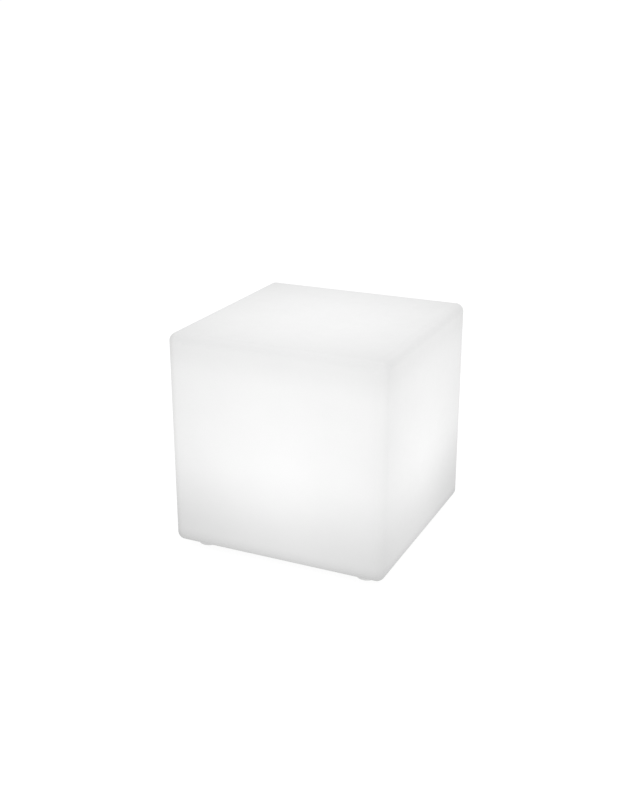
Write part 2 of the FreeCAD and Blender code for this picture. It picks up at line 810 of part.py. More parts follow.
door_top = FLANGE_LOW - S("door_gap")
door = new_body("port_door")
sk = new_sketch(door, "door_plan", "XY_Plane", door_top)
circle(sk, 0, 0, S("door_radius"))
pad(door, sk, S("door_thick"), "door_disc", down=True)
sk = new_sketch(door, "door_arm_plan", "XY_Plane", door_top)
polygon(
    sk,
    rectangle(-S("knuckle_half"), -S("hinge_reach"), S("knuckle_half"), 0),
)
pad(door, sk, S("door_thick"), "door_arm", down=True)
sk = new_sketch(door, "knuckle_plan", "YZ_Plane", -S("knuckle_half"))
circle(sk, -S("hinge_reach"), HINGE_Z, k_r)
pad(door, sk, 2 * S("knuckle_half"), "knuckle")
sk = new_sketch(door, "door_tab_plan", "XY_Plane", door_top)
polygon(sk, rectangle(-3.0, S("door_radius") - 1.0, 3.0, S("door_radius") + 2.4))
pad(door, sk, S("door_thick"), "door_tab", down=True)
sk = new_sketch(door, "knuckle_bore_plan", "YZ_Plane", -S("knuckle_half"))
circle(sk, -S("hinge_reach"), HINGE_Z, S("hinge_pin_radius") + 0.05)
pocket(door, sk, 2 * S("knuckle_half"), "knuckle_bore")
soften(
    door,
    0.5,
    lambda e: e.BoundBox.ZMax < door_top.value - VALUE["door_thick"] + 0.01
    and e.BoundBox.YMax > -VALUE["hinge_reach"] + VALUE["knuckle_radius"] + 1.0
    and e.BoundBox.YMin > -VALUE["hinge_reach"] + VALUE["knuckle_radius"] + 1.0,
    "door_rim",
)
put(door, *PORT)
turned(
    "port_seal",
    [
        (6.3, door_top),
        (8.0, door_top),
        (8.0, FLANGE_LOW - 0.1),
        (6.3, FLANGE_LOW - 0.1),
    ],
    place=PORT,
)
pin = new_body("hinge_pin")
sk = new_sketch(pin, "hinge_pin_section", "YZ_Plane", -(lug_in + S("lug_thick") + 0.2))
circle(sk, HINGE_Y, HINGE_Z, S("hinge_pin_radius"))
pad(pin, sk, 2 * (lug_in + S("lug_thick") + 0.2), "hinge_pin_rod")

# ---------------------------------------------------------------- window and vent

turned(
    "status_window",
    [
        (0, FLANGE_LOW),
        (1.55, FLANGE_LOW),
        (1.55, INSIDE + 1.5),
        (2.6, INSIDE + 1.5),
        (2.6, INSIDE + 2.5),
        (1.55, INSIDE + 2.5),
        (1.55, BOARD - 1.2),
        (0, BOARD - 1.2),
    ],
    place=WINDOW,
)
block("status_emitter", -1.6, -0.8, 1.6, 0.8, BOARD - 0.9, 0.9)
put(bodies["status_emitter"], *WINDOW)
vent = turned(
    "vent_plug",
    [
        (0, FLANGE_LOW - 1.2),
        (4.2, FLANGE_LOW - 1.2),
        (5.5, FLANGE_LOW - 0.5),
        (5.5, FLANGE_LOW),
        (3.0, FLANGE_LOW),
        (3.0, INSIDE + 3.5),
        (0, INSIDE + 3.5),
    ],
    place=VENT,
)
nut = plate("vent_nut", hexagon(9.5), INSIDE, 2.2)
sk = new_sketch(nut, "vent_nut_bore_plan", "XY_Plane", INSIDE)
circle(sk, 0, 0, 3.05)
pocket(nut, sk, 2.2, "vent_nut_bore")
put(nut, *VENT)

# ---------------------------------------------------------------- control board

board = plate(
    "control_board",
    rectangle(-S("board_half"), -S("board_front"), S("board_half"), S("board_back")),
    BOARD,
    S("board_thick"),
)
sk = new_sketch(board, "board_holes_plan", "XY_Plane", BOARD)
for x, y in POSTS:
    circle(sk, x, y, 1.4)
pocket(board, sk, S("board_thick"), "board_holes")
soften(
    board,
    2.5,
    lambda e: abs(e.BoundBox.ZMax - e.BoundBox.ZMin) > 1.0 and isinstance(curve(e), Part.Line)
    and abs(e.BoundBox.XMin) > 28,
    "board_corners",
)
small_screw = screw("small_screw", 1.2, 7.2, 2.3, 1.6, 1.5, 0.9)
group("board_screws", small_screw, [(x, y, BOARD_TOP) for x, y in POSTS], flip=True)
block("controller_chip", -15.0, 2.0, -5.0, 12.0, BOARD_TOP, 1.7)
block("charger_chip", 6.0, -8.0, 11.0, -4.0, BOARD_TOP, 1.5)
coil = block("power_inductor", 6.0, 6.0, 15.0, 15.0, BOARD_TOP, 4.5)
soften(
    coil,
    2.0,
    lambda e: isinstance(curve(e), Part.Line) and e.BoundBox.ZMax - e.BoundBox.ZMin > 4,
    "coil_corners",
)
cap2 = turned(
    "smoothing_capacitor",
    [
        (0, BOARD_TOP),
        (4.0, BOARD_TOP),
        (4.0, BOARD_TOP + 1.4),
        (3.7, BOARD_TOP + 1.8),
        (4.0, BOARD_TOP + 2.2),
        (4.0, BOARD_TOP + 8.2),
        (0, BOARD_TOP + 8.2),
    ],
    place=(-22.0, 18.0),
)
block("battery_socket", 17.0, -4.2, 24.0, 4.2, BOARD_TOP, 5.8)
block("emitter_socket", -22.5, 24.0, -11.5, 29.0, BOARD_TOP, 5.8)
sk = new_sketch(bodies["emitter_socket"], "emitter_socket_mouth", "XY_Plane", BOARD_TOP + 5.8)
circle(sk, -17.0, 26.5, 1.7)
pocket(bodies["emitter_socket"], sk, 3.0, "emitter_socket_hole", down=True)

# ---------------------------------------------------------------- cells in their tray

a = 9.0  # half width of the two arms that take the clamp
tray = plate(
    "battery_tray",
    [
        (-S("tray_half"), -S("tray_side")),
        (-a, -S("tray_side")),
        (-a, -30.5),
        (a, -30.5),
        (a, -S("tray_side")),
        (S("tray_half"), -S("tray_side")),
        (S("tray_half"), S("tray_side")),
        (a, S("tray_side")),
        (a, 30.5),
        (-a, 30.5),
        (-a, S("tray_side")),
        (-S("tray_half"), S("tray_side")),
    ],
    S("tray_height"),
    S("tray_thick"),
)
for name, x0, x1, tall in (
    ("end_left", -35.2, -33.4, 12.0),
    ("end_right", 33.4, 35.2, 12.0),
    ("rib_left", -22.0, -19.0, 6.0),
    ("rib_right", 19.0, 22.0, 6.0),
):
    sk = new_sketch(tray, name + "_plan", "XY_Plane", TRAY_TOP)
    polygon(sk, rectangle(x0, -S("tray_side"), x1, S("tray_side")))
    pad(tray, sk, tall, name)
sk = new_sketch(tray, "saddle_section", "YZ_Plane", -30.0)
for side in (-1, 1):
    circle(sk, S("cell_apart") * side, CELL_MID, S("cell_radius") + 0.1)
pocket(tray, sk, 60.0, "saddles")
sk = new_sketch(tray, "tray_holes_plan", "XY_Plane", S("tray_height"))
for x, y in PILLARS:
    circle(sk, x, y, 1.7)
for y in (-26.5, 26.5):
    circle(sk, 0, y, 1.5)
pocket(tray, sk, S("tray_thick"), "tray_holes")
sk = new_sketch(tray, "wire_slot_plan", "XY_Plane", S("tray_height"))
polygon(sk, rectangle(38.0, -5.0, 48.0, 5.0))
pocket(tray, sk, S("tray_thick"), "wire_slot")
tray_screw = screw("tray_screw", 1.45, 10.0, 2.75, 1.9, 2.0, 1.1)
group("tray_screws", tray_screw, [(x, y, TRAY_TOP) for x, y in PILLARS], flip=True)

# The cells lie head to tail: the front one has its button to the left.
for name, side, head in (("battery_cell_front", -1, -1), ("battery_cell_back", 1, 1)):
    cell = new_body(name)
    long = S("cell_length") / 2
    sk = new_sketch(cell, name + "_section", "YZ_Plane", -long if head > 0 else -long + 1.2)
    circle(sk, S("cell_apart") * side, CELL_MID, S("cell_radius"))
    pad(cell, sk, S("cell_length") - 1.2, name + "_can")
    soften(cell, 0.8, lambda e: isinstance(curve(e), Part.Circle), name + "_rims")
    sk = new_sketch(cell, name + "_button_plan", "YZ_Plane", long - 1.2 if head > 0 else -long)
    circle(sk, S("cell_apart") * side, CELL_MID, 3.4)
    pad(cell, sk, 1.2, name + "_button")

# One strip joins the cells on the left; on the right each cell has its own tab.
links = new_body("cell_links")
strip = [(-14.0, -3.5), (14.0, -3.5), (14.0, 3.5), (-14.0, 3.5)]
tag = [(1.2, -3.5), (14.0, -3.5), (14.0, 3.5), (5.2, 3.5), (5.2, 8.0), (1.2, 8.0)]
for name, x, outline in (
    ("left", -(S("cell_length") / 2) - 0.4, strip),
    ("right_back", S("cell_length") / 2, tag),
    ("right_front", S("cell_length") / 2, [(-y, z) for y, z in reversed(tag)]),
):
    sk = new_sketch(links, "link_%s_plan" % name, "YZ_Plane", x)
    polygon(sk, [(y, CELL_MID + z) for y, z in outline])
    pad(links, sk, 0.4, "link_" + name)

clamp = new_body("battery_clamp")
sk = new_sketch(clamp, "clamp_section", "YZ_Plane", -5.0)
top = CELL_MID + S("cell_radius") + 0.2
polygon(
    sk,
    [
        (-30.0, TRAY_TOP),
        (-20.6, TRAY_TOP),
        (-20.6, top),
        (20.6, top),
        (20.6, TRAY_TOP),
        (30.0, TRAY_TOP),
        (30.0, TRAY_TOP + 1.2),
        (21.8, TRAY_TOP + 1.2),
        (21.8, top + 1.2),
        (-21.8, top + 1.2),
        (-21.8, TRAY_TOP + 1.2),
        (-30.0, TRAY_TOP + 1.2),
    ],
)
pad(clamp, sk, 10.0, "clamp_strap")
sk = new_sketch(clamp, "clamp_holes_plan", "XY_Plane", TRAY_TOP)
for y in (-26.5, 26.5):
    circle(sk, 0, y, 1.7)
pocket(clamp, sk, 1.2, "clamp_holes")
clamp_screw = screw("clamp_screw", 1.45, 3.8, 2.75, 1.9, 2.0, 1.1)
group(
    "clamp_screws",
    clamp_screw,
    [(0.0, y, TRAY_TOP + 1.2) for y in (-26.5, 26.5)],
    flip=True,
)

# ---------------------------------------------------------------- plate, emitters and lens

LEAD_HOLE = (-17.0, 26.5)
BOARD_RING = ring_points(3, 41.0, 90)
emitter_plate = turned(
    "heat_plate",
    [
        (0, LEDGE),
        (S("plate_radius"), LEDGE),
        (S("plate_radius"), PLATE_TOP),
        (0, PLATE_TOP),
    ],
)
sk = new_sketch(emitter_plate, "heat_plate_holes", "XY_Plane", LEDGE)
circle(sk, LEAD_HOLE[0], LEAD_HOLE[1], 2.3)
for x, y in BOARD_RING:
    circle(sk, x, y, 1.3)
pocket(emitter_plate, sk, S("plate_thick"), "heat_plate_drilled")
emitter_board = turned(
    "emitter_board",
    [
        (0, PLATE_TOP),
        (S("emitter_board_radius"), PLATE_TOP),
        (S("emitter_board_radius"), EMITTERS),
        (0, EMITTERS),
    ],
)
sk = new_sketch(emitter_board, "emitter_board_holes", "XY_Plane", PLATE_TOP)
circle(sk, LEAD_HOLE[0], LEAD_HOLE[1], 2.3)
for x, y in BOARD_RING:
    circle(sk, x, y, 1.6)
pocket(emitter_board, sk, S("board_thick"), "emitter_board_drilled")
side = S("emitter_side") / 2
emitter = block("emitter", -side, -side, side, side, 0, S("emitter_tall"), keep=False)
places = [(x, y, EMITTERS, 15.0 + 30 * i) for i, (x, y) in enumerate(ring_points(12, S("outer_ring"), 15))]
places += [(x, y, EMITTERS, 60.0 * i) for i, (x, y) in enumerate(ring_points(6, S("inner_ring"), 0))]
group("light_emitters", emitter, places)
plate_screw = screw("plate_screw", 1.25, 4.4, 2.6, 1.7, 1.8, 1.0)
group("emitter_board_screws", plate_screw, [(x, y, EMITTERS) for x, y in BOARD_RING], flip=True)
eye = turned(
    "remote_receiver",
    [
        (0, EMITTERS),
        (3.6, EMITTERS),
        (3.6, EMITTERS + 1.0),
        (2.6, EMITTERS + 1.0),
        (2.6, EMITTERS + 5.2),
        (0, EMITTERS + 5.2),
    ],
)
soften(eye, 2.3, round_edge(2.6, EMITTERS + 5.2), "eye_dome")

block("emitter_header", -3.0, -2.2, 3.0, 2.2, EMITTERS, 2.0)
put(bodies["emitter_header"], *LEAD_HOLE)

torus("lens_seal", S("groove_mid"), S("seal_tube"), 0.0, 0.0, LIP - S("groove_deep") + S("seal_tube"))
lens_top = LIP + S("lens_rise")
lens = turned(
    "lens_cover",
    [
        (S("lens_inner"), LIP),
        (S("lip_radius"), LIP),
        (S("lip_radius"), LIP + S("lens_flange")),
        (S("lens_outer"), LIP + S("lens_flange")),
        (S("lens_outer"), lens_top),
        (0, lens_top),
        (0, lens_top - 2.5),
        (S("lens_inner"), lens_top - 2.5),
    ],
)
soften(lens, S("lens_shoulder"), round_edge(S("lens_outer"), lens_top), "lens_outer_shoulder")
soften(
    lens,
    S("lens_shoulder") - 2.5,
    round_edge(S("lens_inner"), lens_top - 2.5),
    "lens_inner_shoulder",
)
sk = new_sketch(lens, "lens_holes_plan2", "XY_Plane", LIP)
for x, y in ring_points(4, S("lens_circle"), 45):
    circle(sk, x, y, 1.6)
pocket(lens, sk, S("lens_flange"), "lens_drilled")
lens_screw = screw("lens_screw", 1.25, 7.0, 2.75, 1.9, 2.0, 1.1)
group(
    "lens_screws",
    lens_screw,
    [(x, y, LIP + S("lens_flange")) for x, y in ring_points(4, S("lens_circle"), 45)],
    flip=True,
)

# ---------------------------------------------------------------- wiring inside the housing


def lead(label, route, radius, share=0.45):
    """A lead along straight runs joined by tangent arcs. Its radii are printed."""
    pts = [Vector(*p) for p in route]
    edges, here, radii = [], pts[0], []
    for i in range(1, len(pts) - 1):
        a, b, c = pts[i - 1], pts[i], pts[i + 1]
        u, v = (b - a).normalize(), (c - b).normalize()
        turn = u.getAngle(v)
        run = min((b - a).Length, (c - b).Length)
        r = share * run / math.tan(turn / 2)
        cut = r * math.tan(turn / 2)
        p, q = b - u * cut, b + v * cut
        m = b + ((p - b) + (q - b)).normalize() * (r / math.cos(turn / 2) - r)
        edges.append(Part.LineSegment(here, p).toShape())
        edges.append(Part.Arc(p, m, q).toShape())
        here = q
        radii.append(round(r, 1))
    edges.append(Part.LineSegment(here, pts[-1]).toShape())
    wire = Part.Wire(edges)
    start = (pts[1] - pts[0]).normalize()
    ring = Part.Wire([Part.Circle(pts[0], start, radius).toShape()])
    solid = wire.makePipeShell([ring], True, True)
    want = math.pi * radius * radius * wire.Length
    print(label, "length", round(wire.Length, 1), "radii", radii, "volume", round(solid.Volume / want, 4))
    return solid


def leads(label, shapes):
    f = doc.addObject("Part::Feature", label)
    f.Label = label
    f.Shape = shapes[0] if len(shapes) == 1 else Part.makeCompound(shapes)
    f.Placement = Placement()
    PIECES.append(f)


def num(alias):
    return float(sheet.get(alias))


cell_mid = num("tray_height") + num("tray_thick") + num("cell_lift") + num("cell_radius")
link_x = num("cell_length") / 2 + 0.4
board_top = num("board_height") + num("board_thick")
socket_z = board_top + 3.0
for label, y in (("battery_lead_red", 3.0), ("battery_lead_black", -3.0)):
    leads(
        label,
        [
            lead(
                label,
                [
                    (link_x, y, cell_mid + 6.0),
                    (link_x + 7.6, y, cell_mid + 6.0),
                    (link_x + 7.6, y * 0.9, cell_mid - 7.0),
                    (link_x + 7.6, y * 0.7, socket_z),
                    (24.0, y * 0.7, socket_z),
                ],
                0.8,
            )
        ],
    )
jack_z = num("foot_height") + num("recess_depth") - num("gasket_thick") - num("flange_thick")
jack_z += num("port_depth") + num("port_seat_depth") + 12.6
leads(
    "charging_leads",
    [
        lead(
            "charging_leads",
            [
                (2.5 * side, -num("port_away"), jack_z),
                (6.5 * side, -num("port_away"), jack_z),
                (6.5 * side, -10.2, jack_z - 1.0),
                (6.5 * side, -10.2, board_top),
            ],
            0.6,
        )
        for side in (-1, 1)
    ],
)
board_face = num("cup_top") - num("ledge_drop") + num("plate_thick") + num("board_thick")
leads(
    "emitter_lead",
    [
        lead(
            "emitter_lead",
            [
                (LEAD_HOLE[0], LEAD_HOLE[1], board_top + 2.8),
                (LEAD_HOLE[0], LEAD_HOLE[1], board_top + 13.0),
                (LEAD_HOLE[0] - 1.6, LEAD_HOLE[1] + 1.2, board_top + 20.5),
                (LEAD_HOLE[0], LEAD_HOLE[1], board_top + 28.0),
                (LEAD_HOLE[0], LEAD_HOLE[1], board_face),
            ],
            1.5,
        )
    ],
)

# ---------------------------------------------------------------- checks and files

doc.recompute()
bad = [o.Name for o in doc.Objects if any(w in o.State for w in ("Invalid", "Error"))]
if bad:
    raise RuntimeError("failed: %s" % bad)
os.makedirs(OUT, exist_ok=True)
for old in os.listdir(OUT):
    if old.endswith(".step"):
        os.remove(os.path.join(OUT, old))
for piece in PIECES:
    shape = piece.Shape
    if shape.isNull() or not shape.isValid() or not shape.Solids or shape.Volume <= 0:
        raise RuntimeError("%s has no sound solid" % piece.Label)
for piece in PIECES:
    shape = piece.Shape
    shape.exportStep(os.path.join(OUT, piece.Label + ".step"))
    b = shape.BoundBox
    print(
        "%-22s %2d solids  %10.1f mm3  x %.1f..%.1f  y %.1f..%.1f  z %.1f..%.1f"
        % (piece.Label, len(shape.Solids), shape.Volume, b.XMin, b.XMax, b.YMin, b.YMax, b.ZMin, b.ZMax)
    )
print(len(PIECES), "pieces")
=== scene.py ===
import json
import math

import bmesh
import bpy
from mathutils import Matrix, Vector


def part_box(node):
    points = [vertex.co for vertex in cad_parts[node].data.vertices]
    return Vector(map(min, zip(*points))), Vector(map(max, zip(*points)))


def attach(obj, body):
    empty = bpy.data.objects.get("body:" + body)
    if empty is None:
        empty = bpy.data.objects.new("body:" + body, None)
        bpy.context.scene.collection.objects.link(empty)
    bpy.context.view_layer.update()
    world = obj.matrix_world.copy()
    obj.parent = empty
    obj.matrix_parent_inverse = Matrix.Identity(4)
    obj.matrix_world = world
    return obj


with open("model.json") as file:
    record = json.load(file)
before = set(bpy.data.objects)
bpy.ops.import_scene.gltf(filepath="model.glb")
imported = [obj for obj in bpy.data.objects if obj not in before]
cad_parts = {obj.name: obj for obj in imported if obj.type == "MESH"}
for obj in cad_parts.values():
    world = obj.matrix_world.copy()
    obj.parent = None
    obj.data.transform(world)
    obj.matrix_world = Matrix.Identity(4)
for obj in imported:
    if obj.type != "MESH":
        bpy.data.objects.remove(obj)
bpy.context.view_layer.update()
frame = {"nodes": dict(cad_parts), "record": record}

NODES = frame["nodes"]
SHELL_LOW, SHELL_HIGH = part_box("diffuser_shell")
SHELL_FOOT, SHELL_TOP = SHELL_LOW[2], SHELL_HIGH[2]
SHELL_MID = (SHELL_FOOT + SHELL_TOP) / 2
WIDTH = 0.4

scene = bpy.context.scene
scene.view_settings.view_transform = "Standard"
scene.view_settings.look = "None"
scene.view_settings.exposure = 0.0
scene.view_settings.gamma = 1.0


# ------------------------------------------------------------ camera


def make_camera():
    """The photograph's view: a normal lens about five widths away, a little above the cube."""
    az, el, roll = math.radians(25.09), math.radians(20.1685), math.radians(-0.1518)
    back = Vector((math.sin(az) * math.cos(el), -math.cos(az) * math.cos(el), math.sin(el)))
    right = Vector((math.cos(az), math.sin(az), 0.0))
    up = back.cross(right)
    r2 = right * math.cos(roll) + up * math.sin(roll)
    u2 = up * math.cos(roll) - right * math.sin(roll)
    data = bpy.data.cameras.new("camera")
    cam = bpy.data.objects.new("camera", data)
    scene.collection.objects.link(cam)
    place = Vector((0, 0, SHELL_MID)) + WIDTH * (back * 5.2128 - r2 * 0.0583 + u2 * 0.0899)
    rot = Matrix((r2, u2, back)).transposed()
    cam.matrix_world = Matrix.Translation(place) @ rot.to_4x4()
    data.sensor_width = 36.0
    data.lens = 1141.057 / 800 * 36.0
    data.clip_start, data.clip_end = 0.05, 200.0
    scene.camera = cam


make_camera()


# ------------------------------------------------------------ materials


class Finish:
    """One material: a Principled shader and the nodes that feed it, in the object's own metres."""

    def __init__(self, name, colour, rough, metal=0.0, **sockets):
        self.m = bpy.data.materials.new(name)
        self.m.use_nodes = True
        self.t = self.m.node_tree
        self.p = next(n for n in self.t.nodes if n.type == "BSDF_PRINCIPLED")
        self.p.inputs["Base Color"].default_value = (*colour, 1)
        self.p.inputs["Roughness"].default_value = rough
        self.p.inputs["Metallic"].default_value = metal
        for key, value in sockets.items():
            self.p.inputs[key.replace("_", " ")].default_value = value
        self.coords = self.node("ShaderNodeTexCoord").outputs["Object"]
        self.m.diffuse_color = (*colour, 1)

    def node(self, kind, **values):
        n = self.t.nodes.new(kind)
        for key, value in values.items():
            setattr(n, key, value)
        return n

    def link(self, a, b):
        self.t.links.new(a, b)

    def math(self, op, a, b=None, c=None):
        n = self.node("ShaderNodeMath", operation=op)
        for i, v in enumerate((a, b, c)):
            if v is None:
                continue
            if isinstance(v, (int, float)):
                n.inputs[i].default_value = v
            else:
                self.link(v, n.inputs[i])
        return n.outputs[0]

    def stretched(self, scale):
        n = self.node("ShaderNodeMapping")
        n.inputs["Scale"].default_value = scale
        self.link(self.coords, n.inputs["Vector"])
        return n.outputs[0]

    def noise(self, scale, detail=2.0, rough=0.5, at=None, distort=0.0):
        n = self.node("ShaderNodeTexNoise")
        n.inputs["Scale"].default_value = scale
        n.inputs["Detail"].default_value = detail
        n.inputs["Roughness"].default_value = rough
        n.inputs["Distortion"].default_value = distort
        self.link(at or self.coords, n.inputs["Vector"])
        return n.outputs["Fac"]

    def cells(self, scale, feature="F1", at=None):
        n = self.node("ShaderNodeTexVoronoi", feature=feature)
        n.inputs["Scale"].default_value = scale
        self.link(at or self.coords, n.inputs["Vector"])
        return n.outputs["Distance"]

    def spread(self, value, low, high, to_low, to_high, smooth=False):
        n = self.node("ShaderNodeMapRange")
        if smooth:
            n.interpolation_type = "SMOOTHSTEP"
        self.link(value, n.inputs["Value"])
        for key, v in (("From Min", low), ("From Max", high), ("To Min", to_low), ("To Max", to_high)):
            n.inputs[key].default_value = v
        return n.outputs["Result"]

    def colour(self, fac, one, two):
        n = self.node("ShaderNodeMix", data_type="RGBA")
        n.inputs["A"].default_value = (*one, 1)
        n.inputs["B"].default_value = (*two, 1)
        for i in n.inputs:
            if i.name == "Factor" and i.type == "VALUE" and i.enabled:
                self.link(fac, i)
                break
        out = [o for o in n.outputs if o.enabled][0]
        self.link(out, self.p.inputs["Base Color"])
        return out

    def roughness(self, value):
        self.link(value, self.p.inputs["Roughness"])

    def bump(self, height, distance, strength=1.0, under=None):
        n = self.node("ShaderNodeBump")
        n.inputs["Strength"].default_value = strength
        n.inputs["Distance"].default_value = distance
        self.link(height, n.inputs["Height"])
        if under is not None:
            self.link(under, n.inputs["Normal"])
        self.link(n.outputs["Normal"], self.p.inputs["Normal"])
        return n.outputs["Normal"]


LAMP_HEIGHT = 0.075
# Strengths of the glow's parts: the edge, rim and corner terms are partly painted shade; the band under the top edge
# and the two terms by the base are painted shade.
GLOW = dict(
    cavity=0.242,
    lamp=0.1006,
    upright=(0.024, 0.082),
    edge_shade=(0.021, 0.030),
    turn=(0.016, 0.006),
    brim=(0.050, 0.022),
    collar=(0.052, 0.325, 0.392),
    lid=(0.0176, 0.0994),
    corner=(0.0186, 0.166),
    below=(0.1342, 0.205),
    foot=(0.0908, 0.045),
)


def lamp_light(f, away, z):
    """How strongly the lamp under the lens lights the wall straight away: its upward light falls off with
    the square of the way and with the slant at both ends. One is the brightest spot of a side."""
    square = f.node("ShaderNodeVectorMath", operation="DOT_PRODUCT")
    f.link(away, square.inputs[0])
    f.link(away, square.inputs[1])
    way = f.math("MAXIMUM", square.outputs["Value"], WIDTH * WIDTH / 4)
    parts = f.node("ShaderNodeSeparateXYZ")
    f.link(away, parts.inputs[0])
    up = parts.outputs["Z"]
    root = f.math("SQRT", f.math("MULTIPLY_ADD", up, up, 0.0923**2))
    rise = f.math("MULTIPLY", f.math("ADD", up, root), 0.5)
    lid = f.spread(z, 0.36, 0.403, 0.0, 1.0)
    slant = f.math("MULTIPLY_ADD", f.math("MULTIPLY", lid, lid), 0.131, WIDTH / 2)
    top = f.math("MULTIPLY", rise, slant)
    return f.math("DIVIDE", f.math("DIVIDE", top, f.math("MULTIPLY", way, way)), 8.13)


def moulding_glow(f):
    """The light that the milky wall lets out: what the white cavity evens out, the lamp's own direct share, and
    less of both along its edges and in its corners, partly for the thicker moulding there and partly as painted shade;
    the darker band under the top edge and the darkening down beside the base are painted shade."""
    away = f.node("ShaderNodeVectorMath", operation="SUBTRACT")
    f.link(f.coords, away.inputs[0])
    away.inputs[1].default_value = (0, 0, LAMP_HEIGHT)
    place = f.node("ShaderNodeSeparateXYZ")
    f.link(f.coords, place.inputs[0])
    x, y, z = (place.outputs[i] for i in range(3))
    half = (SHELL_TOP - SHELL_FOOT) / 2
    ax, ay = f.math("ABSOLUTE", x), f.math("ABSOLUTE", y)
    az = f.math("MULTIPLY", f.math("ABSOLUTE", f.math("SUBTRACT", z, SHELL_MID)), WIDTH / 2 / half)
    less, more = f.math("MINIMUM", ax, ay), f.math("MAXIMUM", ax, ay)
    least = f.math("MINIMUM", less, az)

    def near(value, size):
        reach = f.spread(value, WIDTH / 2 - size, WIDTH / 2, 0.0, 1.0)
        return f.math("POWER", reach, 1.5)

    # Painted shade: the glow fades towards the base, where the floor shades the wall.
    def under(height):
        return f.spread(z, SHELL_FOOT, height, 1.0, 0.0, smooth=True)

    light = f.math("MULTIPLY_ADD", lamp_light(f, away.outputs[0], z), GLOW["lamp"], GLOW["cavity"])
    # Darker along the top edges and the vertical edges: partly less glow through the thicker moulding, partly painted
    # shade.
    upper = f.spread(z, 0.2, 0.3, 0.0, GLOW["brim"][0])
    brim = f.math("MULTIPLY", near(f.math("MINIMUM", more, az), GLOW["brim"][1]), upper)
    edge_shade = f.math("MULTIPLY", near(less, GLOW["edge_shade"][1]), GLOW["edge_shade"][0])
    light = f.math("SUBTRACT", light, f.math("MAXIMUM", edge_shade, brim))
    # Darker over the rounding of the vertical edges: partly thicker moulding, partly painted shade.
    tangent = WIDTH / 2 - 0.015
    light = f.math("SUBTRACT", light, f.spread(less, tangent, tangent + GLOW["turn"][1], 0.0, GLOW["turn"][0]))
    # Painted shade: a darker band just under the top edge, where less light falls on the front of the rounding.
    start, peak = GLOW["collar"][1:]
    collar = f.math("MULTIPLY", f.spread(z, start, peak, 0.0, 1.0, smooth=True), f.spread(z, peak, SHELL_TOP, 1.0, 0.0, smooth=True))
    lid = f.spread(z, SHELL_TOP - 0.018, SHELL_TOP, 0.0, 1.0, smooth=True)
    # Each term takes glow away: along the vertical edges, under the top rim and in the corners it is partly thicker
    # moulding and partly painted shade; the band under the top edge and the two terms down by the base are painted
    # shade.
    for shade, key in (
        (near(less, GLOW["upright"][1]), "upright"),
        (collar, "collar"),
        (f.math("MULTIPLY", near(more, GLOW["lid"][1]), lid), "lid"),
        (near(least, GLOW["corner"][1]), "corner"),
        (under(GLOW["below"][1]), "below"),
        (under(GLOW["foot"][1]), "foot"),
    ):
        light = f.math("MULTIPLY_ADD", shade, -GLOW[key][0], light)
    return f.math("MAXIMUM", light, 0.0)


def polyethylene(name, more=0.0):
    """Milky rotation-moulded polyethylene, lit from inside: faint clouds in the wall, a fine eggshell skin. Its glow
    carries painted shade, and the extra term adds an even painted light on top.
    """
    f = Finish(name, (0.50, 0.50, 0.50), 0.58, Specular_IOR_Level=0.24)
    cloud = f.noise(14.0, 3.0, 0.55)
    speck = f.noise(420.0, 2.0, 0.6)
    tone = f.math("ADD", f.math("MULTIPLY", cloud, 0.6), f.math("MULTIPLY", speck, 0.4))
    f.colour(tone, (0.487, 0.488, 0.488), (0.513, 0.513, 0.512))
    f.roughness(f.spread(f.noise(60.0, 3.0, 0.6), 0.3, 0.7, 0.54, 0.64))
    skin = f.math("ADD", f.math("MULTIPLY", f.noise(1100.0, 2.0, 0.6), 0.5), f.math("MULTIPLY", f.noise(95.0, 2.0, 0.5), 0.5))
    f.bump(skin, 0.00018, 0.7)
    light = f.math("MULTIPLY", moulding_glow(f), f.spread(cloud, 0.2, 0.8, 0.985, 1.015))
    light = f.math("MULTIPLY", light, f.spread(speck, 0.3, 0.7, 0.985, 1.015))
    # Painted light: an even extra glow that lightens shaded parts.
    light = f.math("ADD", light, more)
    both = f.node("ShaderNodeCombineColor")
    for i in range(3):
        f.link(light, both.inputs[i])
    f.link(both.outputs[0], f.p.inputs["Emission Color"])
    f.p.inputs["Emission Strength"].default_value = 1.0
    return f.m


def plastic(name, one, two, rough, grain=1400.0, height=0.00004, patch=40.0, **sockets):
    f = Finish(name, one, rough, **sockets)
    fine = f.noise(grain, 2.0, 0.6)
    f.colour(f.math("ADD", f.math("MULTIPLY", f.noise(patch, 3.0, 0.55), 0.5), f.math("MULTIPLY", fine, 0.5)), one, two)
    f.roughness(f.spread(f.noise(patch * 3, 3.0, 0.6), 0.3, 0.7, rough - 0.05, rough + 0.07))
    f.bump(fine, height, 0.7)
    return f.m


def metal(name, one, two, rough, along=(1, 1, 1), scale=900.0, height=0.00002):
    f = Finish(name, one, rough, 1.0)
    lines = f.noise(scale, 3.0, 0.6, at=f.stretched(along))
    f.colour(f.noise(70.0, 3.0, 0.6), one, two)
    f.roughness(f.spread(lines, 0.3, 0.7, rough - 0.08, rough + 0.1))
    f.bump(lines, height, 0.5)
    return f.m


def laminate(name, one, two):
    """Solder mask over faint copper tracks."""
    f = Finish(name, one, 0.35)
    tracks = f.cells(220.0, "DISTANCE_TO_EDGE", at=f.stretched((1, 1, 0.02)))
    line = f.spread(tracks, 0.02, 0.09, 1.0, 0.0)
    f.colour(line, one, two)
    f.roughness(f.spread(f.noise(200.0), 0.3, 0.7, 0.3, 0.42))
    f.bump(line, 0.00003, 0.8)
    return f.m


